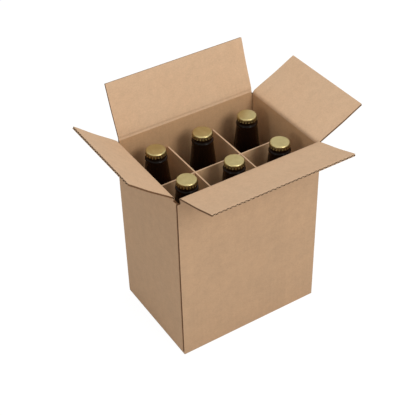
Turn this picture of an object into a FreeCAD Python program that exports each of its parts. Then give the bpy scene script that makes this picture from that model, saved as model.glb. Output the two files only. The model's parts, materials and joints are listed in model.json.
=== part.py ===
# Bottle shipping box: an open carton of corrugated board with six capped bottles in a slotted divider.
#
# Units are millimetres. The origin is the middle of the box's underside, +Z is up, X runs along the
# long walls and the front long wall faces -Y. The top flaps stand as they do at rest, each turned
# outwards from upright about its own crease.
import FreeCAD, Part
import math
import os

Vector = FreeCAD.Vector

# Corrugated board of the case
BOARD = 3.0
LINER = 0.4
FLUTE_WEB = 0.4
FLUTE_PITCH = 6.4
FLUTE_CREST = 0.9

# Inside of the case, with one cell for each bottle
COLUMNS = ("left", "middle", "right")
ROWS = ("front", "back")
CELL_LONG = 70.6
CELL_WIDE = 75.0

# Partition
DIVIDER_BOARD = 2.0
DIVIDER_HEIGHT = 232.0
DIVIDER_END_PLAY = 0.5
DIVIDER_SLOT_PLAY = 0.4
DIVIDER_SLOT_OVERLAP = 0.6
DIVIDER_CORNER = 6.0

# Bottles and caps
BOTTLE_DIAMETER = 68.0
BOTTLE_HEIGHT = 260.0
BASE_ROUNDING = 4.0
PUSH_UP = 3.0
PUSH_UP_DIAMETER = 50.0
BODY_TOP = 150.0
SHOULDER_LENGTH = 55.0
NECK_DIAMETER = 37.0
NECK_TOP_DIAMETER = 26.0
BEAD_BELOW_LIP = 12.5
BEAD_DIAMETER = 30.4
BEAD_HEIGHT = 5.0
CROWN_RING_DIAMETER = 26.4
CROWN_RING_HEIGHT = 4.0
LIP_ROUNDING = 1.6
CAP_SHEET = 0.3
CAP_PLAY = 0.1
CAP_HEIGHT = 6.0
CAP_TOP_ROUNDING = 1.9
CAP_FLARE_DIAMETER = 28.8
CAP_TEETH = 21
TOOTH_GROOVE_WIDTH = 3.4
TOOTH_GROOVE_DEPTH = 0.85
CAP_TURN = 5.0
SEAL_THICKNESS = 0.5
SEAL_EDGE_PLAY = 0.1
HEADROOM = 1.5

# Creases and flaps
FLAP_DEPTH = 76.0
FLAP_SIDE_RELIEF = 1.5
LONG_TO_SHORT_PLAY = 0.6
STACK_PLAY = 0.3
AXIS_BELOW_FACE = 0.5
CREASE_PLAY = 0.15
CRUSH_PLAY = 0.1
CREASE_BEAD_PLAY = 0.15
CREASE_END_PLAY = 0.4
CLOSED_FROM_UPRIGHT = 90.0
OPEN_FROM_UPRIGHT = 165.0
CRUSH_LENGTH = 6.0
SLOT_BELOW_CREASE = 2.9
JOINT_END_RELIEF = 8.0

# Angles at rest, outwards from upright
BACK_REST = 20.0
FRONT_REST = 72.0
LEFT_REST = 52.0
RIGHT_REST = 63.0

# Corners, glue tab and bottom
CORNER_RADIUS = 3.0
INNER_CREASE_DEPTH = 0.8
TAB_WIDTH = 30.0
TAB_TOP_BELOW_SLOT = 3.0
TAB_GROOVE = 1.8
BOTTOM_FLAP_DEPTH = 80.0
BOTTOM_SEAM = 1.0
SEAM_BEHIND_MIDDLE = 1.5
BOTTOM_EDGE_SETBACK = 1.0
BOTTOM_FOLD_RADIUS = 2.4
BOTTOM_FOLD_GROOVE = 0.3

# Sizes that follow
PITCH_LONG = CELL_LONG + DIVIDER_BOARD
PITCH_WIDE = CELL_WIDE + DIVIDER_BOARD
INSIDE_LONG = len(COLUMNS) * PITCH_LONG - DIVIDER_BOARD
INSIDE_WIDE = len(ROWS) * PITCH_WIDE - DIVIDER_BOARD
HALF_X = INSIDE_LONG / 2
HALF_Y = INSIDE_WIDE / 2
OUT_X = HALF_X + BOARD
OUT_Y = HALF_Y + BOARD
FLOOR_Z = 2 * BOARD
LIP_Z = FLOOR_Z + BOTTLE_HEIGHT
CAP_TOP_Z = LIP_Z + SEAL_THICKNESS + CAP_SHEET
AXIS_INSIDE = BOARD - AXIS_BELOW_FACE
SHORT_AXIS_Z = CAP_TOP_Z + HEADROOM + AXIS_INSIDE
LONG_AXIS_Z = SHORT_AXIS_Z + AXIS_BELOW_FACE + STACK_PLAY + AXIS_INSIDE
SLOT_Z = SHORT_AXIS_Z - SLOT_BELOW_CREASE
LONG_FLAP_HALF = HALF_X - FLAP_SIDE_RELIEF
SHORT_FLAP_HALF = HALF_Y - LONG_TO_SHORT_PLAY
TAB_FACE_Y = HALF_Y - BOARD
CLEAR = 20.0


def box(x0, x1, y0, y1, z0, z1):
    """A block between two corners."""
    return Part.makeBox(x1 - x0, y1 - y0, z1 - z0, Vector(x0, y0, z0))


def face_of(points):
    """A flat face inside a closed run of points."""
    return Part.Face(Part.makePolygon([Vector(*p) for p in points] + [Vector(*points[0])]))


# A wall side is drawn in its own section: u outwards, v up, from its crease axis.
# place() turns such a section, drawn for the back wall, to any of the four walls.
SIDES = {
    "back": (0.0, HALF_Y + AXIS_INSIDE, LONG_AXIS_Z),
    "front": (180.0, HALF_Y + AXIS_INSIDE, LONG_AXIS_Z),
    "left": (90.0, HALF_X + AXIS_INSIDE, SHORT_AXIS_Z),
    "right": (-90.0, HALF_X + AXIS_INSIDE, SHORT_AXIS_Z),
}


def place(shape, side):
    """Moves a shape drawn about the crease axis, outwards along +Y, to a wall."""
    turn, reach, height = SIDES[side]
    moved = shape.copy()
    moved.translate(Vector(0, reach, height))
    moved.rotate(Vector(0, 0, 0), Vector(0, 0, 1), turn)
    return moved


def section_prism(points, start, end):
    """A prism along X of a (u, v) outline."""
    return face_of([(start, u, v) for u, v in points]).extrude(Vector(end - start, 0, 0))


# Crease
def fold_slope():
    """The outside crush leans by half of what is left of a full turn back."""
    return math.tan(math.radians((180 - OPEN_FROM_UPRIGHT) / 2))


def closing_slope():
    """The inside mitre leans by half the closing angle."""
    return math.tan(math.radians(CLOSED_FROM_UPRIGHT / 2))


def wall_crease_cut(start, end):
    """What the crease takes off the top of a wall, over the width of its flap."""
    bead = AXIS_BELOW_FACE + CREASE_BEAD_PLAY
    slope = fold_slope()
    mitre = closing_slope()
    past_in = AXIS_INSIDE + 1
    past_out = AXIS_BELOW_FACE + 1
    points = [
        (-past_in, -past_in / mitre - CREASE_PLAY),
        (-(bead - CREASE_PLAY) * mitre, -bead),
        (bead * slope - CRUSH_PLAY, -bead),
        (past_out, -(past_out + CRUSH_PLAY) / slope),
        (past_out, CLEAR),
        (-past_in, CLEAR),
    ]
    return section_prism(points, start - CREASE_END_PLAY, end + CREASE_END_PLAY)


# Flutes
def flute_channels(width, depth):
    """Open flute channels of one board, from its free edge down to the crushed crease."""
    top = AXIS_BELOW_FACE - LINER
    low = -AXIS_INSIDE + LINER
    lean = FLUTE_PITCH / 2 - FLUTE_CREST
    run = math.hypot(lean, top - low)
    web = FLUTE_WEB * run / (top - low)
    count = int((width - FLUTE_WEB) / FLUTE_PITCH * 2) - 1
    first = -(count - 1) * FLUTE_PITCH / 4
    channels = []
    for k in range(count):
        middle = first + k * FLUTE_PITCH / 2
        wide = (FLUTE_PITCH / 2 + lean - web) / 2
        narrow = (FLUTE_PITCH / 2 - lean - web) / 2 + FLUTE_WEB * 0.4
        near, far = (wide, narrow) if k % 2 else (narrow, wide)
        outline = [
            (middle - near, low, CRUSH_LENGTH),
            (middle + near, low, CRUSH_LENGTH),
            (middle + far, top, CRUSH_LENGTH),
            (middle - far, top, CRUSH_LENGTH),
        ]
        channels.append(face_of(outline).extrude(Vector(0, 0, depth - CRUSH_LENGTH + 1)))
    return Part.makeCompound(channels)


def flap(side, start, end, rest):
    """One top flap, with its crease bead and open flutes, turned to its angle at rest."""
    slope = fold_slope()
    mitre = closing_slope()
    tip = AXIS_BELOW_FACE * 0.76
    points = [
        (-AXIS_INSIDE, FLAP_DEPTH),
        (AXIS_BELOW_FACE, FLAP_DEPTH),
        (AXIS_BELOW_FACE, (AXIS_BELOW_FACE + CRUSH_PLAY) / slope),
        (tip * slope - CRUSH_PLAY, tip),
        (-(tip - CREASE_PLAY) * mitre, tip),
        (-AXIS_INSIDE, AXIS_INSIDE / mitre + CREASE_PLAY),
    ]
    board = section_prism(points, start, end)
    bead = Part.makeCylinder(AXIS_BELOW_FACE, end - start, Vector(start, 0, 0), Vector(1, 0, 0))
    board = board.fuse(bead).removeSplitter()
    channels = flute_channels(end - start, FLAP_DEPTH)
    channels.translate(Vector((start + end) / 2, 0, 0))
    board = board.cut(channels)
    board.rotate(Vector(0, 0, 0), Vector(1, 0, 0), -rest)
    return place(board, side)


# Case
def wall_ring():
    """The four walls and the glue tab, as one folded strip seen from above."""
    r = CORNER_RADIUS
    s = r * (1 - math.sqrt(0.5))
    x, y = OUT_X, OUT_Y
    groove_y = -HALF_Y + TAB_GROOVE

    def line(a, b):
        return Part.makeLine(Vector(*a, 0), Vector(*b, 0))

    def arc(a, b, c):
        return Part.Arc(Vector(*a, 0), Vector(*b, 0), Vector(*c, 0)).toShape()

    outline = Part.Wire([
        line((-x, -y), (x - r, -y)),
        arc((x - r, -y), (x - s, -y + s), (x, -y + r)),
        line((x, -y + r), (x, y - r)),
        arc((x, y - r), (x - s, y - s), (x - r, y)),
        line((x - r, y), (-x + r, y)),
        arc((-x + r, y), (-x + s, y - s), (-x, y - r)),
        line((-x, y - r), (-x, groove_y)),
        line((-x, groove_y), (-x + TAB_GROOVE, -HALF_Y)),
        line((-x + TAB_GROOVE, -HALF_Y), (-x, -HALF_Y)),
        line((-x, -HALF_Y), (-x, -y)),
    ])
    hollow = face_of([
        (-HALF_X, -TAB_FACE_Y, 0),
        (-HALF_X + TAB_WIDTH, -TAB_FACE_Y, 0),
        (-HALF_X + TAB_WIDTH, -HALF_Y, 0),
        (HALF_X, -HALF_Y, 0),
        (HALF_X, HALF_Y, 0),
        (-HALF_X, HALF_Y, 0),
    ])
    ring = Part.Face(outline).cut(hollow).extrude(Vector(0, 0, LONG_AXIS_Z))
    d = INNER_CREASE_DEPTH
    for cx, cy in ((HALF_X, HALF_Y), (HALF_X, -HALF_Y), (-HALF_X, HALF_Y)):
        fold = face_of([(cx + d, cy, FLOOR_Z), (cx, cy + d, FLOOR_Z), (cx - d, cy, FLOOR_Z), (cx, cy - d, FLOOR_Z)])
        ring = ring.cut(fold.extrude(Vector(0, 0, LONG_AXIS_Z)))
    return ring


def slot_cuts():
    """Slots between neighbouring flaps, down to just under the lower creases."""
    far_x, far_y = OUT_X + 1, OUT_Y + 1
    high = LONG_AXIS_Z + CLEAR
    cuts = []
    for sx in (-1, 1):
        xs = sorted((sx * LONG_FLAP_HALF, sx * far_x))
        for sy in (-1, 1):
            ys = sorted((sy * SHORT_FLAP_HALF, sy * far_y))
            cuts.append(box(*xs, *ys, SLOT_Z, high))
    cuts.append(box(-far_x, -HALF_X, -HALF_Y, -HALF_Y + JOINT_END_RELIEF, SLOT_Z, high))
    tab_top = SLOT_Z - TAB_TOP_BELOW_SLOT
    cuts.append(box(-HALF_X, -HALF_X + TAB_WIDTH + 1, -HALF_Y, -TAB_FACE_Y + 1, tab_top, high))
    return cuts


def bottom_flaps():
    """Short bottom flaps, folded in first, and long ones glued under them, fused as glued."""
    layers = [box(-OUT_X + BOTTOM_EDGE_SETBACK, OUT_X - BOTTOM_EDGE_SETBACK, -HALF_Y - 0.5, HALF_Y + 0.5, 0, BOARD)]
    for sx in (-1, 1):
        xs = sorted((sx * (HALF_X + 0.5), sx * (HALF_X - BOTTOM_FLAP_DEPTH)))
        layers.append(box(*xs, -HALF_Y - 0.5, HALF_Y + 0.5, BOARD, FLOOR_Z))
    return layers


def bottom_cuts():
    """Seam under the box, set-back raw edges at its ends, and the rounded bottom folds."""
    seam = (SEAM_BEHIND_MIDDLE - BOTTOM_SEAM / 2, SEAM_BEHIND_MIDDLE + BOTTOM_SEAM / 2)
    cuts = [box(-OUT_X - 1, OUT_X + 1, *seam, -1, BOARD)]
    r = BOTTOM_FOLD_RADIUS
    s = r * (1 - math.sqrt(0.5))
    for sx in (-1, 1):
        xs = sorted((sx * (OUT_X - BOTTOM_EDGE_SETBACK), sx * (OUT_X + 1)))
        cuts.append(box(*xs, -OUT_Y - 1, OUT_Y + 1, -1, BOARD))

        def at(inset, height):
            return Vector(sx * (OUT_X - inset), -OUT_Y - 1, height)

        low = BOARD + BOTTOM_FOLD_GROOVE
        edges = [
            Part.makeLine(at(-1, BOARD), at(r, BOARD)),
            Part.makeLine(at(r, BOARD), at(r, low)),
            Part.Arc(at(r, low), at(s, low + s), at(0, low + r)).toShape(),
            Part.makeLine(at(0, low + r), at(-1, low + r)),
            Part.makeLine(at(-1, low + r), at(-1, BOARD)),
        ]
        cuts.append(Part.Face(Part.Wire(edges)).extrude(Vector(0, 2 * OUT_Y + 2, 0)))
    for sy in (-1, 1):

        def at(inset, height):
            return Vector(-OUT_X - 1, sy * (OUT_Y - inset), height)

        edges = [
            Part.makeLine(at(-1, -1), at(r, -1)),
            Part.makeLine(at(r, -1), at(r, 0)),
            Part.Arc(at(r, 0), at(s, s), at(0, r)).toShape(),
            Part.makeLine(at(0, r), at(-1, r)),
            Part.makeLine(at(-1, r), at(-1, -1)),
        ]
        cuts.append(Part.Face(Part.Wire(edges)).extrude(Vector(2 * OUT_X + 2, 0, 0)))
    return cuts


FLAP_SPANS = {
    "back": (-LONG_FLAP_HALF, LONG_FLAP_HALF, BACK_REST),
    "front": (-LONG_FLAP_HALF, LONG_FLAP_HALF, FRONT_REST),
    "left": (-SHORT_FLAP_HALF + JOINT_END_RELIEF - LONG_TO_SHORT_PLAY, SHORT_FLAP_HALF, LEFT_REST),
    "right": (-SHORT_FLAP_HALF, SHORT_FLAP_HALF, RIGHT_REST),
}


def case():
    """Walls, glue tab and bottom of the folded sheet."""
    body = wall_ring()
    body = body.fuse(bottom_flaps())
    for cut in slot_cuts():
        body = body.cut(cut)
    for side, (start, end, rest) in FLAP_SPANS.items():
        body = body.cut(place(wall_crease_cut(start, end), side))
    for sx in (-1, 1):
        xs = sorted((sx * HALF_X, sx * (OUT_X + 1)))
        body = body.cut(box(*xs, -HALF_Y, HALF_Y, SHORT_AXIS_Z, LONG_AXIS_Z + CLEAR))
    for cut in bottom_cuts():
        body = body.cut(cut)
    return body.removeSplitter()


# Partition
def divider(length, across, slots_at, from_top):
    """One strip of the partition along X, slotted half way where the others cross it."""
    half = length / 2
    top = FLOOR_Z + DIVIDER_HEIGHT
    c = DIVIDER_CORNER
    outline = [
        (-half, -across / 2, FLOOR_Z),
        (half, -across / 2, FLOOR_Z),
        (half, -across / 2, top - c),
        (half - c, -across / 2, top),
        (-half + c, -across / 2, top),
        (-half, -across / 2, top - c),
    ]
    strip = face_of(outline).extrude(Vector(0, across, 0))
    wide = (across + DIVIDER_SLOT_PLAY) / 2
    middle = FLOOR_Z + DIVIDER_HEIGHT / 2
    low = middle - DIVIDER_SLOT_OVERLAP / 2 if from_top else FLOOR_Z - 1
    high = top + 1 if from_top else middle + DIVIDER_SLOT_OVERLAP / 2
    for x in slots_at:
        strip = strip.cut(box(x - wide, x + wide, -across, across, low, high))
    return strip


def partition():
    """The long strip and the crosswise strips, locked into each other."""
    crossings = [-PITCH_LONG / 2, PITCH_LONG / 2]
    made = {"long_divider": divider(INSIDE_LONG - 2 * DIVIDER_END_PLAY, DIVIDER_BOARD, crossings, True)}
    cross_strip = divider(INSIDE_WIDE - 2 * DIVIDER_END_PLAY, DIVIDER_BOARD, [0.0], False)
    cross_strip.rotate(Vector(0, 0, 0), Vector(0, 0, 1), 90)
    for name, x in zip(("left", "right"), crossings):
        strip = cross_strip.copy()
        strip.translate(Vector(x, 0, 0))
        made["cross_divider_" + name] = strip
    return made


# Bottles and caps
def revolved(edges):
    """A solid turned about Z from (radius, height) edges that start and end on the axis."""
    return Part.Face(Part.Wire(edges)).revolve(Vector(0, 0, 0), Vector(0, 0, 1), 360)


def line(a, b):
    return Part.makeLine(Vector(a[0], 0, a[1]), Vector(b[0], 0, b[1]))


def arc(a, b, c):
    return Part.Arc(Vector(a[0], 0, a[1]), Vector(b[0], 0, b[1]), Vector(c[0], 0, c[1])).toShape()


def corner(centre, radius, start, end):
    """An arc about a centre between two angles in degrees, measured from outwards to up."""
    def at(angle):
        a = math.radians(angle)
        return (centre[0] + radius * math.cos(a), centre[1] + radius * math.sin(a))
    return arc(at(start), at((start + end) / 2), at(end)), at(start), at(end)


def bottle():
    """A closed full bottle, standing on z = 0: push-up, body, shoulder, neck, bead and crown ring."""
    body = BOTTLE_DIAMETER / 2
    ring = CROWN_RING_DIAMETER / 2
    neck = NECK_DIAMETER / 2
    neck_top = NECK_TOP_DIAMETER / 2
    bead = BEAD_DIAMETER / 2
    bead_z = BOTTLE_HEIGHT - BEAD_BELOW_LIP
    shoulder_z = BODY_TOP + SHOULDER_LENGTH
    push = PUSH_UP_DIAMETER / 2
    foot, foot_start, foot_end = corner((body - BASE_ROUNDING, BASE_ROUNDING), BASE_ROUNDING, -90, 0)
    lip, lip_start, lip_end = corner((ring - LIP_ROUNDING, BOTTLE_HEIGHT - LIP_ROUNDING), LIP_ROUNDING, 0, 90)
    waist = ((body + neck) / 2, (BODY_TOP + shoulder_z) / 2)
    turn = SHOULDER_LENGTH / 4
    upper = (neck + (waist[0] - neck) * 0.27, shoulder_z - turn)
    lower = (body - (body - waist[0]) * 0.27, BODY_TOP + turn)
    bead_round, bead_start, bead_end = corner((bead - BEAD_HEIGHT / 2, bead_z), BEAD_HEIGHT / 2, -45, 75)
    under_ring = BOTTLE_HEIGHT - CROWN_RING_HEIGHT
    edges = [
        line((0, BOTTLE_HEIGHT), (0, PUSH_UP)),
        arc((0, PUSH_UP), (push * 0.6, PUSH_UP * 0.64), (push, 0)),
        line((push, 0), foot_start),
        foot,
        line(foot_end, (body, BODY_TOP)),
        arc((body, BODY_TOP), lower, waist),
        arc(waist, upper, (neck, shoulder_z)),
        line((neck, shoulder_z), bead_start),
        bead_round,
        line(bead_end, (neck_top - 0.4, under_ring)),
        line((neck_top - 0.4, under_ring), (ring, under_ring + 0.8)),
        line((ring, under_ring + 0.8), lip_start),
        lip,
        line(lip_end, (0, BOTTLE_HEIGHT)),
    ]
    return revolved(edges)


def crown_cap():
    """A crimped crown cap, its inner top face at z = 0, with grooves between its teeth."""
    inner = CROWN_RING_DIAMETER / 2 + CAP_PLAY
    shoulder = inner + CAP_SHEET
    flare = CAP_FLARE_DIAMETER / 2
    top = CAP_SHEET
    low = top - CAP_HEIGHT
    r = CAP_TOP_ROUNDING
    rim, rim_start, rim_end = corner((shoulder - r, top - r), r, 0, 90)
    outer = revolved([
        line((0, low), (flare, low)),
        line((flare, low), (flare, low + CAP_SHEET)),
        line((flare, low + CAP_SHEET), rim_start),
        rim,
        line(rim_end, (0, top)),
        line((0, top), (0, low)),
    ])
    ri = r - CAP_SHEET
    hollow_rim, hollow_start, hollow_end = corner((inner - ri, -ri), ri, 0, 90)
    hollow = revolved([
        line((0, low - 1), (inner, low - 1)),
        line((inner, low - 1), hollow_start),
        hollow_rim,
        line(hollow_end, (0, 0)),
        line((0, 0), (0, low - 1)),
    ])
    start = (shoulder, top - r)
    lean = (flare - TOOTH_GROOVE_DEPTH - shoulder) / (top - r - low)
    past = 2 * TOOTH_GROOVE_DEPTH
    spread = past * TOOTH_GROOVE_WIDTH / 2 / TOOTH_GROOVE_DEPTH
    section = []
    for x, y in ((0, 0), (past, spread), (past, -spread)):
        section.append((start[0] + x - lean * CAP_HEIGHT / 4, y, start[1] + CAP_HEIGHT / 4))
    groove = face_of(section).extrude(Vector(lean * CAP_HEIGHT * 2, 0, -CAP_HEIGHT * 2))
    grooves = []
    for k in range(CAP_TEETH):
        one = groove.copy()
        one.rotate(Vector(0, 0, 0), Vector(0, 0, 1), k * 360 / CAP_TEETH)
        grooves.append(one)
    return outer.cut(hollow).cut(grooves)


def contents():
    """Bottle, seal and cap in every cell, each cap turned a little differently."""
    made = {}
    plain_bottle = bottle()
    plain_cap = crown_cap()
    flat = CROWN_RING_DIAMETER / 2 + CAP_PLAY - (CAP_TOP_ROUNDING - CAP_SHEET)
    seal = Part.makeCylinder(flat - SEAL_EDGE_PLAY, SEAL_THICKNESS)
    for j, row in enumerate(ROWS):
        for i, column in enumerate(COLUMNS):
            x = (i - (len(COLUMNS) - 1) / 2) * PITCH_LONG
            y = (j - (len(ROWS) - 1) / 2) * PITCH_WIDE
            place_name = row + "_" + column
            for name, shape, z in (
                ("bottle_", plain_bottle, FLOOR_Z),
                ("cap_", plain_cap, LIP_Z + SEAL_THICKNESS),
                ("liner_", seal, LIP_Z),
            ):
                piece = shape.copy()
                if name == "cap_":
                    piece.rotate(Vector(0, 0, 0), Vector(0, 0, 1), (i + len(COLUMNS) * j) * CAP_TURN)
                piece.translate(Vector(x, y, z))
                made[name + place_name] = piece
    return made


nodes = {"case": case()}
for side, (start, end, rest) in FLAP_SPANS.items():
    nodes[side + "_flap"] = flap(side, start, end, rest)
nodes.update(partition())
nodes.update(contents())

os.makedirs("parts", exist_ok=True)
for name, shape in nodes.items():
    solids = shape.Solids
    print(name, len(solids), shape.isValid(), round(shape.Volume / 1000, 3), "cm3")
    shape.exportStep("parts/" + name + ".step")
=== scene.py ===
# %% [markdown]
# # A bottle shipping box with its lid open
# The packed CAD model is the fixed frame: every wall, flap, divider, bottle and cap already has its place.
# Blender adds the looks on top of it. The board becomes real corrugated board with open flutes, the bottles
# get smooth glass, the caps get their crimped teeth, and everything is lit softly on white.

# %% Load the packed frame
import json
import math

import bmesh
import bpy
import numpy as np
from mathutils import Matrix, Vector


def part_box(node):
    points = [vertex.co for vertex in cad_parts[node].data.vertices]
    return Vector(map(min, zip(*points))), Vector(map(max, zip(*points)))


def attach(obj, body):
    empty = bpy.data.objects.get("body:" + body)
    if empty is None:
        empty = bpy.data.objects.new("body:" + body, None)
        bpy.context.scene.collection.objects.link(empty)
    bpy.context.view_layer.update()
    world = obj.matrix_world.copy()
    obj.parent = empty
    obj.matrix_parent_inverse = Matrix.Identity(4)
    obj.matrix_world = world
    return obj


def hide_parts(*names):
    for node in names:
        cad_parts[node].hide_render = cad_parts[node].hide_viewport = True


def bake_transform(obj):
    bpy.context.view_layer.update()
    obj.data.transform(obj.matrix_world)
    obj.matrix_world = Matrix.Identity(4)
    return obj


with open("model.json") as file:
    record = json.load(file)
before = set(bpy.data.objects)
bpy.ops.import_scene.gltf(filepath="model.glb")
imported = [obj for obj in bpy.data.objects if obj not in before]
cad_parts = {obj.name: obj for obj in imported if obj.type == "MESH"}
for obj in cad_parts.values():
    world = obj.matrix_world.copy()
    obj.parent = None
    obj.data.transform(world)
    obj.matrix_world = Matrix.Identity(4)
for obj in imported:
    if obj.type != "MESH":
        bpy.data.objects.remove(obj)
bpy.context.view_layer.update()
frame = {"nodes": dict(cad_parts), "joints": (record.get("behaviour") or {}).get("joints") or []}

MM = 0.001
JOINTS = {j["child"]: j for j in frame["joints"]}

# %% [markdown]
# ## Camera, floor and light
# The photograph looks down at the box from its front left corner with a long lens, so its edges hardly
# converge. The camera's place and turn come from a least squares fit of the box's corners to the
# photograph. The three rows are the camera's right, down and forward directions.

# %% Camera
CAMERA_AT = Vector((-0.58183, -0.90760, 1.03928))
CAMERA_RIGHT = Vector((0.841142, -0.540497, -0.018537))
CAMERA_DOWN = Vector((-0.353707, -0.523877, -0.774883))
CAMERA_FORWARD = Vector((0.409111, 0.658343, -0.631832))
FOCAL_PIXELS = 1003.4
FRAME_PIXELS = 416
SENSOR_WIDTH = 36


def link(name, data):
    """A new object in the scene for a mesh, a camera or a lamp."""
    made = bpy.data.objects.new(name, data)
    bpy.context.scene.collection.objects.link(made)
    return made


camera_data = bpy.data.cameras.new("camera")
camera_data.sensor_width = SENSOR_WIDTH
camera_data.lens = SENSOR_WIDTH * FOCAL_PIXELS / FRAME_PIXELS
camera_data.clip_start = 0.05
camera_data.clip_end = 50
camera = link("camera", camera_data)
turn = Matrix((CAMERA_RIGHT, -CAMERA_DOWN, -CAMERA_FORWARD)).transposed()
camera.matrix_world = Matrix.Translation(CAMERA_AT) @ turn.to_4x4()
bpy.context.scene.camera = camera
bpy.context.scene.view_settings.view_transform = "Standard"
print("lens", round(camera_data.lens, 1), "mm")

# %% [markdown]
# ## Writing shader and geometry maths as plain arithmetic
# A node tree is hard to read when every sum is three lines of code. The Wire class below holds one output
# socket and adds a Math node for each operator, so that 1 - mask or noise * 0.2 reads like ordinary Python.
# Every other node comes from one method of Bench, which takes the node's type, its settings and its inputs.

# %% The Wire and Bench classes
class Wire:
    """One output socket, with arithmetic that adds Math nodes."""

    def __init__(self, bench, socket):
        self.bench, self.socket = bench, socket

    def maths(self, operation, *others, clamp=False):
        return self.bench.add("ShaderNodeMath", {"operation": operation, "use_clamp": clamp},
                              dict(enumerate((self, *others))))

    def __add__(self, other): return self.maths("ADD", other)
    def __radd__(self, other): return self.maths("ADD", other)
    def __sub__(self, other): return self.maths("SUBTRACT", other)
    def __rsub__(self, other): return self.bench.number("SUBTRACT", other, self)
    def __mul__(self, other): return self.maths("MULTIPLY", other)
    def __rmul__(self, other): return self.maths("MULTIPLY", other)
    def __truediv__(self, other): return self.maths("DIVIDE", other)
    def __rtruediv__(self, other): return self.bench.number("DIVIDE", other, self)
    def __pow__(self, other): return self.maths("POWER", other)

    def clipped(self):
        """The value held between 0 and 1."""
        return self.maths("ADD", 0.0, clamp=True)

    def step(self, low, high):
        """0 below low and 1 above high, smooth in between."""
        return self.bench.add("ShaderNodeMapRange", {"interpolation_type": "SMOOTHSTEP"},
                              {"Value": self, "From Min": low, "From Max": high})

    def parts(self):
        """The x, y and z of a vector, as three wires."""
        self.bench.add("ShaderNodeSeparateXYZ", None, {0: self})
        return [Wire(self.bench, self.bench.last.outputs[k]) for k in range(3)]


class Bench:
    """A node tree to add nodes to. It keeps the last node, for those with more than one output in use."""

    def __init__(self, tree):
        self.tree, self.last = tree, None

    def add(self, kind, settings=None, inputs=None, out=0):
        node = self.tree.nodes.new(kind)
        for name, value in (settings or {}).items():
            setattr(node, name, value)
        for name, value in (inputs or {}).items():
            if isinstance(value, Wire):
                self.tree.links.new(value.socket, node.inputs[name])
            else:
                node.inputs[name].default_value = value
        self.last = node
        return Wire(self, node.outputs[out]) if node.outputs else None

    def number(self, operation, a, b):
        return self.add("ShaderNodeMath", {"operation": operation}, {0: a, 1: b})

    def mix(self, share, first, second, blend="MIX"):
        """Colour mix: sockets 6 and 7 are the colour pair of the Mix node, and output 2 its colour."""
        pair = [(*c, 1) if isinstance(c, tuple) else c for c in (first, second)]
        return self.add("ShaderNodeMix", {"data_type": "RGBA", "blend_type": blend},
                        {0: share, 6: pair[0], 7: pair[1]}, out=2)


print("methods of a wire:", [name for name in vars(Wire) if not name.startswith("_")])

# %% [markdown]
# Every finish on the box starts from the same Principled shader, and colours are written as they are read
# off a screen, from 0 to 255. Blender counts in linear light, so they are converted first.

# %% Colours and new finishes
def srgb(red, green, blue):
    """A colour as read off a screen, 0 to 255, as Blender's linear values."""
    def line(v):
        v /= 255
        return v / 12.92 if v <= 0.04045 else ((v + 0.055) / 1.055) ** 2.4
    return (line(red), line(green), line(blue))


def new_finish(name):
    """A material with an empty Principled shader, as (material, bench, principled node)."""
    material = bpy.data.materials.new(name)
    material.use_nodes = True
    bench = Bench(material.node_tree)
    return material, bench, material.node_tree.nodes["Principled BSDF"]


def plug(bench, shader, **inputs):
    """Links or sets sockets of the shader, with _ for the space in a socket's name."""
    for name, value in inputs.items():
        socket = shader.inputs[name.replace("_", " ")]
        if isinstance(value, Wire):
            bench.tree.links.new(value.socket, socket)
        else:
            socket.default_value = value


print("middle grey, linear:", [round(v, 3) for v in srgb(128, 128, 128)])

# %% [markdown]
# The floor is a wide pale sheet. To the camera and to glass and metal it shows the plain white of the
# background, and only a small share of it is lit, which keeps a faint shadow under the box. To the light
# that bounces off it, it is ordinary matt white, so that it brightens the walls from below.

# %% Floor
FLOOR_REACH = 12.0
FLOOR_LEVEL = -0.2 * MM
WHITE_SHARE = 0.86


def seen_directly(bench):
    """1 for rays from the camera, from a glossy surface or through glass."""
    bench.add("ShaderNodeLightPath")
    rays = bench.last.outputs
    return Wire(bench, rays["Is Camera Ray"]).maths(
        "MAXIMUM", Wire(bench, rays["Is Glossy Ray"])).maths(
        "MAXIMUM", Wire(bench, rays["Is Transmission Ray"]))


floor_mesh = bpy.data.meshes.new("floor")
floor_mesh.from_pydata([(x * FLOOR_REACH, y * FLOOR_REACH, FLOOR_LEVEL)
                        for x, y in ((-1, -1), (1, -1), (1, 1), (-1, 1))], [], [(0, 1, 2, 3)])
floor = link("floor", floor_mesh)
floor_paint = bpy.data.materials.new("floor_white")
floor_paint.use_nodes = True
bench = Bench(floor_paint.node_tree)
floor_paint.node_tree.nodes.clear()
matt = bench.add("ShaderNodeBsdfDiffuse", None, {"Color": (0.80, 0.80, 0.80, 1)})
white = bench.add("ShaderNodeEmission", None, {"Color": (1, 1, 1, 1), "Strength": 1.1})
shown = bench.add("ShaderNodeMixShader", None, {0: seen_directly(bench) * WHITE_SHARE, 1: matt, 2: white})
bench.add("ShaderNodeOutputMaterial", None, {"Surface": shown})
floor_mesh.materials.append(floor_paint)
print("floor:", 2 * FLOOR_REACH, "m wide")

# %% [markdown]
# The world lights the box evenly from all around, as pale studio walls do. What looks straight at it sees
# full white, and everything else gets the dome's lower strength.

# %% Surrounding light
DOME_STRENGTH = 0.55

world = bpy.data.worlds.new("studio")
bpy.context.scene.world = world
world.use_nodes = True
bench = Bench(world.node_tree)
world.node_tree.nodes.clear()
level = seen_directly(bench) * (1 - DOME_STRENGTH) + DOME_STRENGTH
sky = bench.add("ShaderNodeBackground", None, {"Color": (1, 1, 1, 1), "Strength": level})
bench.add("ShaderNodeOutputWorld", None, {"Surface": sky})
print("dome strength", DOME_STRENGTH)

# %% [markdown]
# Three soft boxes light the board. The key stands in front, a little to the right and above, so the front
# wall is lighter than the left wall and the caps get their bright lower edge. A weaker one, nearly straight
# above, lifts the flaps, and a weak one from the left keeps the left wall open.

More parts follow.
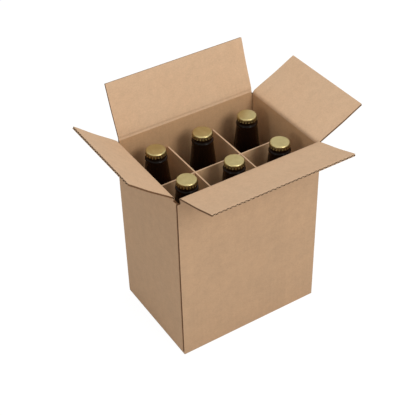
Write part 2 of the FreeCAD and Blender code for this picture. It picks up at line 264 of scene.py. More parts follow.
# %% Soft boxes
BOX_MIDDLE = Vector((0, 0, 0.2))
WARM_WHITE = (1.0, 0.985, 0.965)


def soft_box(name, place, size, power):
    """A round lamp that faces the middle of the box. Size is in metres and power in watts."""
    lamp = bpy.data.lights.new(name, "AREA")
    lamp.shape = "DISK"
    lamp.size = size
    lamp.energy = power
    lamp.color = WARM_WHITE
    away = Vector(place) - BOX_MIDDLE
    holder = link(name, lamp)
    holder.matrix_world = (Matrix.Translation(Vector(place))
                           @ away.to_track_quat("Z", "Y").to_matrix().to_4x4())
    return name


LAMPS = [soft_box("key_light", (0.45, -2.0, 1.8), 1.1, 28),
         soft_box("top_light", (0.3, 0.1, 2.4), 0.9, 6),
         soft_box("left_light", (-2.2, -0.7, 1.1), 0.5, 5)]
print("lamps:", LAMPS)

# %% [markdown]
# ## The kraft board
# Corrugated board is two flat liner papers glued to a wavy one. Three things make it look real from near:
# long brown fibres lying across the flutes, soft cloudy patches, and the washboard, which is the faint
# ribbing where the liner sinks a little between the flute tips. The washboard is a bump, and it also darkens
# the colour very slightly in its troughs, which is painted shade. All three read the sheet's own UV map, in
# metres along and across the flutes, so they turn with a flap and run the right way on every panel. One
# attribute is 1 on a cut edge, where the paper is dark and rough, and less where a paper lies half hidden.
# The darker colour of the hidden paper inside the board is painted shade, and the cut colour is partly
# painted shade too. The other attribute is 1 on a flap's inside and 2 inside the case, where a browner,
# darker colour is painted as the shade inside the box.

# %% Kraft board finish
FLUTE_PITCH = 6.4 * MM
DIVIDER_FLUTE_PITCH = 3.2 * MM
RIBBING = 0.2


def kraft_finish(name, outside, inside, shaded_inside_colour, cut, pitch):
    """A brown board finish with its four colours, and pitch as the distance from flute to flute."""
    material, bench, shader = new_finish(name)
    sheet = bench.add("ShaderNodeUVMap", {"uv_map": "sheet"})
    across = sheet.parts()[0]
    raw = bench.add("ShaderNodeAttribute", {"attribute_name": "raw"}, None, out=2)
    lining = bench.add("ShaderNodeAttribute", {"attribute_name": "lining"}, None, out=2)

    def noise(scale, detail=3.0, rough=0.55, stretch=(1, 1, 1)):
        place = bench.add("ShaderNodeVectorMath", {"operation": "MULTIPLY"}, {0: sheet, 1: stretch})
        return bench.add("ShaderNodeTexNoise", None,
                         {"Vector": place, "Scale": scale, "Detail": detail, "Roughness": rough})

    clouds = noise(22, 3)
    patches = noise(95, 4, 0.6)
    fibres = noise(900, 4, 0.7, (0.28, 1, 1))
    hairs = noise(2600, 2, 0.6, (0.12, 1, 1))
    flecks = noise(1500, 2, 0.5, (0.5, 1, 1)).step(0.66, 0.74)
    drawn = noise(60, 3, 0.6, (1, 0.16, 1))
    specks = noise(420, 2, 0.6)
    streaks = noise(500, 3, 0.6, (1, 0.1, 1))
    rib = (across * (2 * math.pi / pitch)).maths("COSINE")

    # The rib term darkens the washboard's troughs a little in the colour: painted shade of the ribbing.
    light = (0.67 + clouds * 0.14 + patches * 0.22 + drawn * 0.10 + specks * 0.20 + (fibres - 0.5) * 0.24
             + (hairs - 0.5) * 0.06 + rib * (0.012 * RIBBING) - flecks * 0.05)
    paper = bench.mix(lining, outside, inside)
    # Value 2, inside the case, gives a darker, browner colour, painted as the shade inside the box.
    paper = bench.mix((lining - 1.0).clipped(), paper, shaded_inside_colour)
    warmer = tuple(v * f for v, f in zip(outside, (1.03, 0.98, 0.93)))
    warm = bench.mix((clouds - 0.3).clipped() * 0.6, paper, warmer)
    # On the case, a cut edge's dark brown is partly the cut paper's own colour and partly painted shade of
    # the slots and the joint's groove.
    edge = bench.mix(streaks, tuple(v * 0.72 for v in cut), tuple(v * 1.2 for v in cut))
    body = bench.mix(raw, warm, edge)
    grey = bench.add("ShaderNodeCombineXYZ", None, {0: light, 1: light, 2: light})
    colour = bench.mix(1.0, body, grey, "MULTIPLY")

    height = fibres * 0.35 + hairs * 0.2 + rib * RIBBING + patches * 0.5 + drawn * 0.5 + raw * streaks * 1.5
    bump = bench.add("ShaderNodeBump", None, {"Strength": 0.55, "Distance": 0.12 * MM, "Height": height})
    rough = 0.80 + (fibres - 0.5) * 0.16 + raw * 0.1
    plug(bench, shader, Base_Color=colour, Roughness=rough.clipped(), Normal=bump, Specular_IOR_Level=0.22)
    return material


DIVIDER_BROWN = srgb(212, 176, 137)
# Inside the case the paper is painted darker and browner than a flap's inside, as the shade inside the box.
# The case's cut colour is darker than cut paper alone, as painted shade in the slots and the joint's groove.
kraft = kraft_finish("kraft_liner", outside=srgb(188, 155, 123), inside=srgb(214, 181, 148),
                     shaded_inside_colour=srgb(200, 161, 121), cut=srgb(96, 64, 37), pitch=FLUTE_PITCH)
divider_kraft = kraft_finish("partition_board", outside=DIVIDER_BROWN, inside=DIVIDER_BROWN,
                             shaded_inside_colour=DIVIDER_BROWN, cut=srgb(218, 184, 150), pitch=DIVIDER_FLUTE_PITCH)
print("finishes:", kraft.name, divider_kraft.name)

# %% [markdown]
# ## The folded case
# The case is one sheet: four walls, a glued corner and the bottom flaps. Its shape in the CAD model is
# already right, so a copy of that mesh is dressed instead of modelling it again. The copy is merged by
# distance, because the CAD mesh is loose triangles, and each face gets its UV from the two directions that
# lie in it.

# %% Copy a CAD sheet and give it its UV map
FOLD_ANGLE = 28


def mark_sharp(work, angle):
    """Makes an edge sharp where its two faces meet at more than the angle in degrees."""
    for edge in work.edges:
        edge.smooth = len(edge.link_faces) == 2 and edge.calc_face_angle(0) < math.radians(angle)


def merged_copy(node):
    """A bmesh copy of a CAD node with its triangles joined, and sharp edges at folds and cuts."""
    work = bmesh.new()
    work.from_mesh(frame["nodes"][node].data)
    bmesh.ops.remove_doubles(work, verts=work.verts, dist=2e-6)
    work.normal_update()
    for face in work.faces:
        face.smooth = True
    mark_sharp(work, FOLD_ANGLE)
    return work


def sheet_layers(work):
    """The UV, raw and lining layers, made when they are first needed."""
    uv = work.loops.layers.uv.get("sheet") or work.loops.layers.uv.new("sheet")
    raw = work.loops.layers.float.get("raw") or work.loops.layers.float.new("raw")
    lining = work.loops.layers.float.get("lining") or work.loops.layers.float.new("lining")
    return uv, raw, lining


def mark_sheet(work, is_raw, is_lining, shift=0.0):
    """Writes the sheet UV map in metres, and the raw and lining marks. Each of the three ways that a face
    can lie starts 0.31 m further on, so that the pattern doesn't run on round a corner."""
    uv, raw, lining = sheet_layers(work)
    for face in work.faces:
        n, middle = face.normal, face.calc_center_median()
        size = [abs(v) for v in n]
        flat = size.index(max(size))
        r, inner = float(is_raw(n, middle)), 2.0 * is_lining(n, middle)
        for loop in face.loops:
            p = loop.vert.co
            pair = ((p.y, p.z), (p.x, p.z), (p.x, p.y))[flat]
            loop[uv].uv = (pair[0] + shift + 0.31 * flat, pair[1])
            loop[raw] = r
            loop[lining] = inner


def board_piece(name, work, finish):
    """The drawn board as a piece in the scene, with its finish."""
    mesh = bpy.data.meshes.new(name)
    work.to_mesh(mesh)
    work.free()
    mesh.materials.append(finish)
    return link(name, mesh)


print("folds are sharp from", FOLD_ANGLE, "degrees")

# %% [markdown]
# The case has cut edges where the slots between the flaps end, at the glued corner and along the bottom
# flaps. They are found from where a face lies and which way it looks, and so is the inside.

# %% Dress the case
BOARD = 3 * MM
BOTTOM_TOP = 2 * BOARD
WELL_ABOVE_BOTTOM = BOTTOM_TOP + 0.5 * MM
_, case_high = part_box("case")
OUT_X, OUT_Y = case_high.x, case_high.y


def case_cut(n, at):
    """Cut edges of the case: slot ends, the joint's cut edges and the bottom flaps' edges. Their dark colour
    is partly painted shade, in the slots and in the groove at the glued corner.
    """
    if n.z > 0.8 and at.z > 0.2:
        return True
    if abs(n.x) > 0.9 and at.z > WELL_ABOVE_BOTTOM:
        joint_edge = abs(at.x + OUT_X) < 0.2 * MM and at.y < -OUT_Y + BOARD
        tab_edge = abs(abs(at.x) - OUT_X) > 4 * MM
        return joint_edge or tab_edge
    within_walls = abs(at.y) < OUT_Y - 5 * MM and abs(at.x) < OUT_X - 5 * MM
    return at.z < BOTTOM_TOP + 0.1 * MM and abs(n.z) < 0.3 and within_walls


def case_inside(n, at):
    """Faces that look at the bottles."""
    if at.z > WELL_ABOVE_BOTTOM and abs(n.z) < 0.7:
        return n.x * at.x + n.y * at.y < 0
    return n.z > 0.5


case_work = merged_copy("case")
# The faces inside the case are marked for their painted shade.
mark_sheet(case_work, case_cut, case_inside)
case_sheet = board_piece("case_sheet", case_work, kraft)
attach(case_sheet, "case")
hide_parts("case")
print("case sheet:", len(case_sheet.data.polygons), "faces, outside",
      round(2 * OUT_X / MM, 1), "x", round(2 * OUT_Y / MM, 1), "mm")

# %% [markdown]
# ## The dividers
# One long board and two cross boards slot together half way. They are thinner board than the case, and
# their top edges catch the light as thin pale lines. They are dressed as the case is.

# %% Dividers
DIVIDERS = ("long_divider", "cross_divider_left", "cross_divider_right")


def dress_divider(node, index):
    """Dresses one strip, with its pattern moved on by its number, and gives back its height."""
    low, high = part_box(node)
    lies_along_x = high.x - low.x > high.y - low.y
    work = merged_copy(node)

    def cut(n, at):
        return abs(n.z) > 0.5 or (abs(n.x) if lies_along_x else abs(n.y)) > 0.5

    mark_sheet(work, cut, lambda n, at: False, shift=0.7 * (index + 1))
    piece = board_piece(node + "_board", work, divider_kraft)
    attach(piece, "case")
    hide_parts(node)
    return high.z - low.z


print("divider heights, mm:", [round(dress_divider(n, i) / MM, 1) for i, n in enumerate(DIVIDERS)])

# %% [markdown] ## The flaps A flap and the wall that it hangs on are one sheet: both liners run on through
# the crease. So each flap is drawn flat first, with s along the hinge, u through the board and v from the
# hinge to the free edge, and then folded to the angle of the photograph. The wavy paper between the liners
# repeats by a rule, so Geometry Nodes draw it. A tree starts with named inputs, and ends by making its
# copies real and giving them their material.

# %% Helpers for Geometry Nodes trees
FLOAT, INT, MAT = "NodeSocketFloat", "NodeSocketInt", "NodeSocketMaterial"


def start_tree(name, sizes):
    """A geometry tree with named inputs, as (tree, bench, {name: wire})."""
    tree = bpy.data.node_groups.new(name, "GeometryNodeTree")
    tree.interface.new_socket("Geometry", in_out="OUTPUT", socket_type="NodeSocketGeometry")
    tree.interface.new_socket("Geometry", in_out="INPUT", socket_type="NodeSocketGeometry")
    for label, (kind, value) in sizes.items():
        socket = tree.interface.new_socket(label, in_out="INPUT", socket_type=kind)
        if value is not None:
            socket.default_value = value
    bench = Bench(tree)
    entry = tree.nodes.new("NodeGroupInput")
    wires = {label: Wire(bench, entry.outputs[label]) for label in ("Geometry", *sizes)}
    return tree, bench, wires


def end_tree(bench, geometry, material_wire):
    real = bench.add("GeometryNodeRealizeInstances", None, {"Geometry": geometry})
    painted = bench.add("GeometryNodeSetMaterial", None, {"Geometry": real, "Material": material_wire})
    bench.add("NodeGroupOutput", None, {"Geometry": painted})


def tree_inputs(tree):
    return [i for i in tree.interface.items_tree if i.item_type == "SOCKET" and i.in_out == "INPUT"]


def run_tree(tree, start_mesh, name, **values):
    """Runs the tree once on a carrier object and gives back the plain mesh it makes."""
    carrier = link(name + "_carrier", start_mesh)
    modifier = carrier.modifiers.new("maker", "NODES")
    modifier.node_group = tree
    for item in tree_inputs(tree):
        if item.name in values:
            modifier[item.identifier] = values[item.name]
    graph = bpy.context.evaluated_depsgraph_get()
    mesh = bpy.data.meshes.new_from_object(carrier.evaluated_get(graph), depsgraph=graph)
    mesh.name = name
    carrier.modifiers.clear()
    bpy.data.objects.remove(carrier)
    return mesh


print("kinds of input:", FLOAT, INT, MAT)

# %% [markdown]
# The wavy paper starts as a flat grid. Its columns follow the hinge, where a cosine lifts and sinks them.
# Its rows run out to the free edge on the outer side of the paper and come back on the inner side, and the
# last row meets the first, so the paper has its thickness.

# %% Tree for the wavy paper
wave_tree, bench, given = start_tree("wavy_paper", {
    "Pitch": (FLOAT, 6.4 * MM), "Wave Height": (FLOAT, 2.0 * MM), "Paper": (FLOAT, 0.25 * MM),
    "Width": (FLOAT, 0.2), "From": (FLOAT, 6 * MM), "To": (FLOAT, 76 * MM),
    "Steps": (INT, 401), "Rows": (INT, 12), "Material": (MAT, None)})
flat_grid = bench.add("GeometryNodeMeshGrid", None, {
    "Size X": 1.0, "Size Y": 1.0, "Vertices X": given["Steps"], "Vertices Y": given["Rows"] * 2 + 1})
gx, gy, _ = bench.add("GeometryNodeInputPosition").parts()
s = gx * given["Width"]
loop = ((gy + 0.5) * given["Rows"] * 2).maths("ROUND")
closing_row = loop.maths("COMPARE", given["Rows"] * 2, 0.25)
upper = closing_row.maths("MAXIMUM", loop.maths("LESS_THAN", given["Rows"] - 0.5))
row_up = loop.maths("MODULO", given["Rows"]) / (given["Rows"] - 1)
share = (upper * row_up + (1 - upper) * (1 - row_up)) * (1 - closing_row)
height = (s / given["Pitch"] * (2 * math.pi)).maths("COSINE") * given["Wave Height"] * 0.5
v = given["From"] + (given["To"] - given["From"]) * share
u = height + (upper - 0.5) * given["Paper"]
at = bench.add("ShaderNodeCombineXYZ", None, {0: s, 1: u, 2: v})
waved = bench.add("GeometryNodeSetPosition", None, {"Geometry": flat_grid, "Position": at})
closed = bench.add("GeometryNodeMergeByDistance", None, {"Geometry": waved, "Distance": 1e-6})
end_tree(bench, closed, given["Material"])
print("wavy paper inputs:", [i.name for i in tree_inputs(wave_tree)])

# %% [markdown]
# Each liner is a thin closed strip swept along the hinge. Its path starts on the wall, just under the paper
# there, runs over the crease with a shallow dip where the board is crushed, and goes on to the free edge.
# The free half of a big flap is never quite flat, so it bows by a fraction of a millimetre. The inner liner
# starts INNER_REACH below the hinge and the outer one OUTER_REACH below it.

# %% Draw the liners flat
LINER = 0.4 * MM
FLAP_DEPTH = 76 * MM
INNER_FACE, OUTER_FACE = -2.5 * MM, 0.5 * MM
INNER_REACH, OUTER_REACH = 2.65 * MM, 4.56 * MM
INNER_DIP, OUTER_DIP = 0.7 * MM, -0.12 * MM
SINK = 0.08 * MM
CRUSH_END = 6 * MM
BOW = 0.7 * MM
CREASE_STEPS, PANEL_STEPS, HINGE_STEPS = 16, 14, 24
# Paper that lies hidden inside the board, the backs of the liners and the wavy paper, is painted darker as
# shade. The side cuts and the flute's last wall get the cut colour in part.
HIDDEN_PAINTED_SHADE, RAW_SIDE_CUT, RAW_LAST_WALL = 0.6, 0.3, 0.9


def bow_at(v):
    share = max(0.0, min(1.0, (v - CRUSH_END) / (FLAP_DEPTH - CRUSH_END)))
    return BOW * math.sin(math.pi * share) ** 2


def liner_path(face, reach, dip, sink):
    """Heights u of a liner's shown face along v, from under the wall's paper to the free edge."""
    path = [(-reach - 0.5 * MM, face + sink * 1.5), (-reach - 0.05 * MM, face + sink)]
    for k in range(1, CREASE_STEPS):
        v = -reach + 2 * reach * k / CREASE_STEPS
        path.append((v, face + dip * math.cos(math.pi / 2 * v / reach) ** 2))
    for k in range(1, PANEL_STEPS + 1):
        path.append((reach + (FLAP_DEPTH - reach) * k / PANEL_STEPS, face))
    return path


def swept_strip(work, path, inward, start, end, lining):
    """A closed strip: the path's shown face, and the same path one liner thickness further in."""
    _, raw_layer, lining_layer = sheet_layers(work)
    rows = [(v, u, u + inward * LINER) for v, u in path]
    columns = [start + (end - start) * k / HINGE_STEPS for k in range(HINGE_STEPS + 1)]
    shown = [[work.verts.new((s, a + bow_at(v), v)) for v, a, b in rows] for s in columns]
    back = [[work.verts.new((s, b + bow_at(v), v)) for v, a, b in rows] for s in columns]

    def face(corners, raw):
        made = work.faces.new(corners)
        made.smooth = True
        for corner in made.loops:
            corner[raw_layer] = raw
            corner[lining_layer] = float(lining)

    for i in range(HINGE_STEPS):
        for j in range(len(rows) - 1):
            face([shown[i][j], shown[i + 1][j], shown[i + 1][j + 1], shown[i][j + 1]], 0.0)
            # The back of a liner faces into the board: its darker colour is painted shade.
            face([back[i][j + 1], back[i + 1][j + 1], back[i + 1][j], back[i][j]], HIDDEN_PAINTED_SHADE)
        for j, k in ((0, 1), (len(rows) - 1, -1)):
            face([shown[i][j], back[i][j], back[i + 1][j], shown[i + 1][j]][::k], 0.0)
    for i, k in ((0, 1), (HINGE_STEPS, -1)):
        for j in range(len(rows) - 1):
            face([shown[i][j], shown[i][j + 1], back[i][j + 1], back[i][j]][::k], RAW_SIDE_CUT)


print("one flap is", FLAP_DEPTH / MM, "mm deep, board", (OUTER_FACE - INNER_FACE) / MM, "mm")

# %% [markdown]
# Between the liners come the waves from the tree. At a side cut the board shows one flute from its side, so
# a thin wall closes it there, a little inside the two liners. Normals are made to point outwards while the
# flap is still flat, because a thin bent sheet can fool the recalculation.

# %% Fill the board between the liners
WAVE_PAPER = 0.6 * MM
WAVE_HEIGHT = OUTER_FACE - INNER_FACE - 2 * LINER - WAVE_PAPER
WAVE_INSET = 0.45 * MM
SIDE_INSET, SIDE_PAPER = 0.35 * MM, 0.2 * MM
# The rows of a side wall in millimetres: v, then the lower and the upper u.
SIDE_ROWS = [(-2.2, -1.0, 0.0), (0.0, -0.9, 0.1), (2.65, -1.6, 0.1), (4.5, -2.0, 0.1)]
SIDE_ROWS += [(6 + 70 * k / 12, -2.1, 0.1) for k in range(12)] + [(75.8, -2.1, 0.1)]


def side_wall(work, at, facing):
    """The wavy paper's last wall at a side cut."""
    _, raw_layer, _ = sheet_layers(work)
    rings = [[work.verts.new((at + facing * t, u * MM + bow_at(v * MM), v * MM))
              for t, u in ((0, a), (0, b), (SIDE_PAPER, b), (SIDE_PAPER, a))] for v, a, b in SIDE_ROWS]
    faces = [rings[0][::-facing], rings[-1][::facing]]
    for low, high in zip(rings, rings[1:]):
        faces += [[low[k], low[(k + 1) % 4], high[(k + 1) % 4], high[k]][::facing] for k in range(4)]
    for corners in faces:
        for corner in work.faces.new(corners).loops:
            corner[raw_layer] = RAW_LAST_WALL


def add_waves(work, name, start, end):
    """Adds the wavy paper between the liners and closes its two open ends."""
    width = end - start - 2 * WAVE_INSET
    paper = run_tree(wave_tree, bpy.data.meshes.new("seed"), name + "_wave", Pitch=FLUTE_PITCH,
                     **{"Wave Height": WAVE_HEIGHT}, Paper=WAVE_PAPER, Width=width,
                     From=CRUSH_END - 1.5 * MM, To=FLAP_DEPTH - 0.25 * MM,
                     Steps=int(width / FLUTE_PITCH * 12) + 1, Rows=10, Material=kraft)
    for vertex in paper.vertices:
        vertex.co.x += (start + end) / 2
        vertex.co.y += (INNER_FACE + OUTER_FACE) / 2 + bow_at(vertex.co.z)
    first = len(work.faces)
    work.from_mesh(paper)
    bpy.data.meshes.remove(paper)
    work.faces.ensure_lookup_table()
    _, raw_layer, lining_layer = sheet_layers(work)
    # The wavy paper inside the board is painted darker as shade; only its faces at the free edge keep the
    # paper's colour.
    for face in work.faces[first:]:
        face.smooth = True
        is_free_edge = abs(face.normal.z) > 0.7
        for corner in face.loops:
            corner[raw_layer] = 0.0 if is_free_edge else HIDDEN_PAINTED_SHADE
            corner[lining_layer] = 1.0
    rims = [edge for edge in work.edges if len(edge.link_faces) == 1]
    ends = bmesh.ops.holes_fill(work, edges=rims, sides=0)["faces"]
    bmesh.ops.triangulate(work, faces=ends)


def flat_flap(name, start, end):
    """Both liners, the wavy paper and the side walls of one flap, drawn flat."""
    work = bmesh.new()
    sheet_layers(work)
    swept_strip(work, liner_path(INNER_FACE, INNER_REACH, INNER_DIP, SINK), 1, start, end, True)
    swept_strip(work, liner_path(OUTER_FACE, OUTER_REACH, OUTER_DIP, -SINK), -1, start, end, False)
    add_waves(work, name, start, end)
    side_wall(work, start + SIDE_INSET, 1)
    side_wall(work, end - SIDE_INSET, -1)
    bmesh.ops.recalc_face_normals(work, faces=work.faces)
    return work


print("waves are", round(WAVE_HEIGHT / MM, 2), "mm high, every", FLUTE_PITCH / MM, "mm")

# Going from the flat drawing to the box is also a mirror, which turns every face inside out, so they are
# reversed after it. The bend reaches as far each way as both liners' lower ends allow.

# %% Fold a flap and hang it on its joint
SIDES = {
    "front": (Vector((1, 0, 0)), Vector((0, -1, 0))),
    "back": (Vector((-1, 0, 0)), Vector((0, 1, 0))),
    "left": (Vector((0, -1, 0)), Vector((-1, 0, 0))),
    "right": (Vector((0, 1, 0)), Vector((1, 0, 0))),
}
FOLD_ROUNDS = 60
FLAP_SHARP = 40


def smooth_share(t):
    t = np.clip(t, 0, 1)
    return t * t * (3 - 2 * t)


def folded(u, v, rest, half):
    along = np.array((math.sin(rest / 2), math.cos(rest / 2)))
    share = smooth_share((v + half) / (2 * half))
    for _ in range(FOLD_ROUNDS):
        a = rest * share
        out = u * np.cos(a) + v * np.sin(a)
        up = -u * np.sin(a) + v * np.cos(a)
        reached = ((out * along[0] + up * along[1]) + half) / (2 * half)
        share = 0.5 * share + 0.5 * smooth_share(reached)
    a = rest * share
    return u * np.cos(a) + v * np.sin(a), -u * np.sin(a) + v * np.cos(a)


def hang_flap(side, index):
    """Draws, folds and blends one flap. Each starts at its own place of the board's pattern."""
    node = side + "_flap"
    hinge, outward = SIDES[side]
    joint = JOINTS[node]
    axis_at = Vector(joint["pos_m"])
    rest = math.radians(-joint["range_deg"][0] - 90)
    low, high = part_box(node)
    start, end = sorted((low.dot(hinge), high.dot(hinge)))
    work = flat_flap(node, start, end)
    uv, _, _ = sheet_layers(work)
    for face in work.faces:
        for corner in face.loops:
            corner[uv].uv = (corner.vert.co.x + 1.7 + 0.9 * index, corner.vert.co.z)
    flat = np.array([v.co for v in work.verts])
    lean, rise = math.sin(rest / 2), math.cos(rest / 2)
    half = min(INNER_REACH * rise - INNER_FACE * lean, OUTER_REACH * rise - OUTER_FACE * lean) - 0.05 * MM
    out, up = folded(flat[:, 1], flat[:, 2], rest, half)
    for vertex, a, b in zip(work.verts, out, up):
        vertex.co = (hinge * vertex.co.x + outward * (axis_at.dot(outward) + float(a))
                     + Vector((0, 0, axis_at.z + float(b))))
    bmesh.ops.reverse_faces(work, faces=work.faces)
    work.normal_update()
    mark_sharp(work, FLAP_SHARP)
    piece = board_piece(node + "_sheet", work, kraft)
    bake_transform(piece)
    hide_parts(node)
    top = max(v.co.z for v in piece.data.vertices)
    print(node, "rest", round(math.degrees(rest)), "deg,", len(piece.data.polygons), "faces, top",
          round(top / MM, 1), "mm, CAD top", round(high.z / MM, 1), "mm")


for index, side in enumerate(SIDES):
    hang_flap(side, index)

# %% [markdown]
# ## The bottles and caps
# A bottle and a crown cap are turned shapes, and six of each stand on a regular grid, so one tree makes
# both: it spins a half section into a skin, presses the teeth into it, and puts a copy in every cell. The
# half section is a line of points drawn in Python, with x as the radius and z as the height. An attribute
# named crimp says how deep the teeth are pressed at each height. The tree writes an attribute named groove,
# 0 on the teeth and about 1 deep between them, for the cap's finish.

# %% Tree for turned pieces, first half: one skin
GROOVE_SCALE = 750

turn_tree, bench, given = start_tree("turned_in_cells", {
    "Segments": (INT, 96), "Teeth": (INT, 21), "Columns": (INT, 3), "Rows": (INT, 2),
    "Column Pitch": (FLOAT, 72.6 * MM), "Row Pitch": (FLOAT, 77 * MM),
    "Turn": (FLOAT, 0.0), "Lift": (FLOAT, 0.0), "Material": (MAT, None)})
section_size = bench.add("GeometryNodeAttributeDomainSize", None, {"Geometry": given["Geometry"]})
skin = bench.add("GeometryNodeMeshGrid", None, {
    "Size X": 1.0, "Size Y": 1.0, "Vertices X": given["Segments"] + 1, "Vertices Y": section_size})
gx, gy, _ = bench.add("GeometryNodeInputPosition").parts()
angle = (gx + 0.5) * (2 * math.pi)
place_in_section = ((gy + 0.5) * (section_size - 1)).maths("ROUND")
own_place = bench.add("GeometryNodeInputPosition")
sampled = bench.add("GeometryNodeSampleIndex", {"data_type": "FLOAT_VECTOR", "domain": "POINT"},
                    {"Geometry": given["Geometry"], "Value": own_place, "Index": place_in_section})
crimp = bench.add("GeometryNodeInputNamedAttribute", {"data_type": "FLOAT"}, {"Name": "crimp"})
pressed = bench.add("GeometryNodeSampleIndex", {"data_type": "FLOAT", "domain": "POINT"},
                    {"Geometry": given["Geometry"], "Value": crimp, "Index": place_in_section})
radius, _, level = sampled.parts()
groove = (0.5 - (angle * given["Teeth"]).maths("COSINE") * 0.5) ** 2.0
reach_out = radius - pressed * groove
marked = bench.add("GeometryNodeStoreNamedAttribute", {"data_type": "FLOAT", "domain": "POINT"},
                   {"Geometry": skin, "Name": "groove", "Value": pressed * groove * GROOVE_SCALE})
at = bench.add("ShaderNodeCombineXYZ", None, {
    0: reach_out * angle.maths("COSINE"), 1: reach_out * angle.maths("SINE"), 2: level + given["Lift"]})
spun = bench.add("GeometryNodeSetPosition", None, {"Geometry": marked, "Position": at})
joined = bench.add("GeometryNodeMergeByDistance", None, {"Geometry": spun, "Distance": 4e-6})
smooth = bench.add("GeometryNodeSetShadeSmooth", None, {"Geometry": joined})
print("turned pieces inputs:", [i.name for i in tree_inputs(turn_tree)])

# %% [markdown]
# The cells are the points of a second, small grid. Each copy is turned a little further than the one before
# it, because on real bottles no two caps have their teeth in line.

# %% Tree for turned pieces, second half: a copy in every cell
cells = bench.add("GeometryNodeMeshGrid", None, {
    "Size X": given["Column Pitch"] * (given["Columns"] - 1),
    "Size Y": given["Row Pitch"] * (given["Rows"] - 1),
    "Vertices X": given["Columns"], "Vertices Y": given["Rows"]})
cx, cy, _ = bench.add("GeometryNodeInputPosition").parts()
cell_number = (cx / given["Column Pitch"] + 1) + (cy / given["Row Pitch"] + 0.5) * 3
euler = bench.add("ShaderNodeCombineXYZ", None, {2: cell_number * given["Turn"]})
facing = bench.add("FunctionNodeEulerToRotation", None, {0: euler})
copies = bench.add("GeometryNodeInstanceOnPoints", None,
                   {"Points": cells, "Instance": smooth, "Rotation": facing})
end_tree(bench, copies, given["Material"])
print("nodes in the tree:", len(turn_tree.nodes))

# %% [markdown]
# The bottle is a tall bottle of dark amber glass: foot, straight body, a double curved shoulder, a tapering
# neck with a ring, and the lip that the cap grips. Curves are sampled closely where the light bends on
# them. Its points are (radius, height, crimp) in millimetres, and it has no crimp.

# %% Bottle section
BODY, NECK, LIP_ROOT = 34.0, 18.5, 14.5


def section_mesh(points):
    """A line of (radius, height, crimp) points in millimetres as a mesh with the crimp attribute."""
    mesh = bpy.data.meshes.new("section")
    mesh.from_pydata([(r * MM, 0, z * MM) for r, z, c in points],
                     [(k, k + 1) for k in range(len(points) - 1)], [])
    crimp = mesh.attributes.new("crimp", "FLOAT", "POINT")
    crimp.data.foreach_set("value", [c * MM for r, z, c in points])
    return mesh


def arc_points(centre, radius, start, end, steps):
    return [(centre[0] + radius * math.cos(math.radians(start + (end - start) * k / steps)),
             centre[1] + radius * math.sin(math.radians(start + (end - start) * k / steps)))
            for k in range(steps + 1)]


def bottle_section():
    points = [(0.0, 3.0), (8.0, 2.8), (15.0, 1.92), (21.0, 0.8), (25.0, 0.02)]
    points += arc_points((30, 4), 4, -90, 0, 8)
    points += [(BODY, 6 + 144 * k / 6) for k in range(7)]
    for k in range(1, 31):
        t = k / 30
        slow = 3 * t * t - 2 * t ** 3
        slower = t * t * t * (t * (t * 6 - 15) + 10)
        points.append((BODY + (NECK - BODY) * (0.35 * slow + 0.65 * slower), 150 + 55 * t))
    points += [(NECK - (NECK - LIP_ROOT) * k / 10, 205 + 40.2 * k / 10) for k in range(1, 11)]
    points += arc_points((12.7, 247.5), 2.5, -42, 75, 8)
    points += [(13.1, 250.3), (12.8, 252), (12.6, 256), (13.0, 256.6)]
    points += arc_points((11.6, 258.4), 1.6, 0, 90, 5)
    points += [(9.6, 259.9), (9.2, 259.0), (0.0, 259.0)]
    return [(r, z, 0.0) for r, z in points]


print("bottle section:", len(bottle_section()), "points")

# %% [markdown]
# The cap is stamped from thin sheet: a flat top with a soft edge, and a skirt that flares out and is
# crimped into 21 teeth. The section goes down outside the skirt, round its cut edge and up inside, so the
# metal has its real thickness. The crimp grows from nothing below the soft edge to its full depth at the
# cut edge. Heights are counted from the underside of the top.

# %% Cap section
SKIRT_TOP, SKIRT_INSIDE, FLARE = 13.58, 14.06, 0.79
OUTER_CRIMP, INNER_CRIMP = 1.35, 1.30


def cap_section():
    points = [(0.0, 0.30), (6.0, 0.29), (9.5, 0.27), (11.0, 0.24)]
    points += arc_points((11.7, -1.62), 1.88, 88, 8, 9)
    points = [(r, z, 0.0) for r, z in points]
    for k in range(1, 11):
        t = k / 10
        crimp = OUTER_CRIMP * max(0.0, (t - 0.2) / 0.8) ** 0.8
        points.append((SKIRT_TOP + FLARE * t ** 1.3, -1.5 - 4.0 * t, crimp))
    points += [(14.38, -5.62, OUTER_CRIMP), (14.30, -5.69, OUTER_CRIMP), (14.12, -5.69, 1.33),
               (SKIRT_INSIDE, -5.55, INNER_CRIMP)]
    for k in range(1, 7):
        t = k / 6
        crimp = INNER_CRIMP * max(0.0, (0.8 - t) / 0.8) ** 0.8
        points.append((SKIRT_INSIDE - FLARE * t, -5.55 + 4.0 * t, crimp))
    points += [(12.9, -0.6, 0.0), (11.6, -0.02, 0.0), (0.0, 0.0, 0.0)]
    return points


print("cap section:", len(cap_section()), "points")

# %% [markdown]
# Amber glass full of a dark drink looks almost black: light that enters it hardly comes out again. So the
# finish is a very dark brown under a clear gloss. The neck above the drink lets a little light through,
# which is painted into the colour as a warmer brown there, and towards the outline a warm brown glow is
# painted in as light shining through the glass. Faint ripples from the mould break the reflections up.

# %% Glass finish
def object_place(bench):
    """A point's place on the piece in metres: output 3 of Texture Coordinate is Object."""
    return bench.add("ShaderNodeTexCoord", None, None, out=3)


def noise_at(bench, place, scale, detail=2.0, rough=0.5):
    return bench.add("ShaderNodeTexNoise", None,
                     {"Vector": place, "Scale": scale, "Detail": detail, "Roughness": rough})


glass, bench, shader = new_finish("amber_glass")
place = object_place(bench)
_, _, height = place.parts()
swirl = noise_at(bench, place, 60)
# The neck is painted a lighter brown, as the light that shines through it above the drink.
painted_neck_light = height.step(0.215, 0.262) * (0.55 + swirl * 0.9)
amber = bench.mix(painted_neck_light, srgb(6, 3, 2), srgb(15, 8, 4))
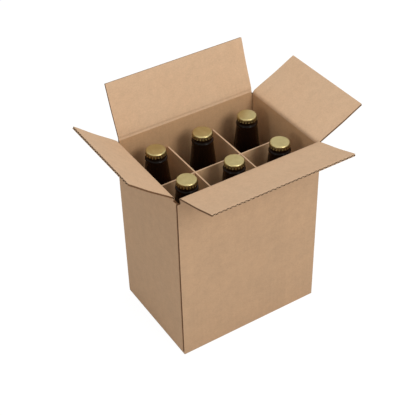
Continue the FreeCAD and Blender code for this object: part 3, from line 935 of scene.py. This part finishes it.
# Towards the outline a warm brown glow is painted in, as light shining through the glass.
facing_away = bench.add("ShaderNodeLayerWeight", None, {"Blend": 0.35}, out=1)
painted_edge_glow = bench.mix(facing_away * 0.6, amber, srgb(66, 36, 16))
ripples = noise_at(bench, place, 140, 1)
bump = bench.add("ShaderNodeBump", None, {"Strength": 0.25, "Distance": 0.4 * MM, "Height": ripples})
plug(bench, shader, Base_Color=painted_edge_glow, Roughness=0.07 + swirl * 0.05, Normal=bump,
     IOR=1.52, Specular_IOR_Level=0.08)
print("finish:", glass.name)

# %% [markdown]
# The caps are tinplate under a gold lacquer, so they are a metal with a tint, slightly cloudy, grained and
# finely scratched. Between the teeth the metal sees only its own walls and the dark bottle, so the groove
# attribute darkens it there, down to just above the cut edge, which stays bright. The sealing disc inside
# is a pale compound.

# %% Cap and seal finishes
cap_metal, bench, shader = new_finish("gold_lacquer")
place = object_place(bench)
_, _, height = place.parts()
above_edge = height.step(260.95 * MM, 261.75 * MM)
cloud = noise_at(bench, place, 160, 3)
grain = noise_at(bench, place, 2600, 2, 0.6)
drawn_out = bench.add("ShaderNodeVectorMath", {"operation": "MULTIPLY"}, {0: place, 1: (0.15, 1.0, 1.0)})
scratches = noise_at(bench, drawn_out, 3200, 1).step(0.66, 0.72)
lacquer = bench.mix(cloud, srgb(164, 148, 100), srgb(192, 178, 128))
worn = bench.mix(scratches * 0.35, lacquer, srgb(215, 203, 160))
pressed_in = bench.add("ShaderNodeAttribute", {"attribute_name": "groove"}, None, out=2)
deep = bench.mix(pressed_in.step(0.12, 0.75) * above_edge * 0.92, worn, srgb(20, 14, 6))
bump = bench.add("ShaderNodeBump", None,
                 {"Strength": 0.3, "Distance": 0.1 * MM, "Height": grain * 0.6 + cloud})
plug(bench, shader, Base_Color=deep, Roughness=0.27 + grain * 0.12 + cloud * 0.06, Normal=bump, Metallic=1.0)

seal_finish, bench, shader = new_finish("seal_compound")
cloud = noise_at(bench, object_place(bench), 300)
pale = bench.mix(cloud, srgb(196, 196, 190), srgb(220, 220, 214))
plug(bench, shader, Base_Color=pale, Roughness=0.5 + cloud * 0.1)
print("finishes:", cap_metal.name, seal_finish.name)

# %% [markdown]
# Now the tree turns both sections. All six bottles are one mesh, and so are all six caps, because they ride
# on the same body. Where a section ends on the axis the skin has faces without area, so they are dissolved
# before the normals are recalculated. The sealing discs lie hidden in the caps, so their CAD nodes stay as
# they are and only get their finish.

# %% Make the bottles and caps
CELLS = [f"{row}_{column}" for row in ("front", "back") for column in ("left", "middle", "right")]
CAP_TEETH = 21
TURNED_SHARP = 55


def in_cells(name, section, finish, slot, nodes, **values):
    """Turns a section in every cell, hangs the piece on the case and hides the CAD nodes there."""
    mesh = run_tree(turn_tree, section_mesh(section), name, Material=finish, **values)
    work = bmesh.new()
    work.from_mesh(mesh)
    bmesh.ops.dissolve_degenerate(work, edges=work.edges, dist=1e-7)
    bmesh.ops.recalc_face_normals(work, faces=work.faces)
    mark_sharp(work, TURNED_SHARP)
    open_edges = sum(1 for edge in work.edges if len(edge.link_faces) != 2)
    work.to_mesh(mesh)
    work.free()
    piece = link(name, mesh)
    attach(piece, "case")
    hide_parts(*nodes)
    z = [v.co.z for v in mesh.vertices]
    print(name, len(mesh.polygons), "faces, open edges", open_edges, "z",
          round(min(z) / MM, 2), "to", round(max(z) / MM, 2), "mm")


in_cells("bottles", bottle_section(), glass, "dark_glass", ["bottle_" + c for c in CELLS],
         Segments=96, Teeth=0, Lift=6 * MM)
in_cells("caps", cap_section(), cap_metal, "cap_metal", ["cap_" + c for c in CELLS],
         Segments=CAP_TEETH * 12, Teeth=CAP_TEETH, Turn=math.radians(5), Lift=266.5 * MM)
for cell in CELLS:
    seal = frame["nodes"]["liner_" + cell]
    seal.data.materials.clear()
    seal.data.materials.append(seal_finish)

# %% [markdown]
# ## Finish
# The dressed box must stay inside the CAD model's box.
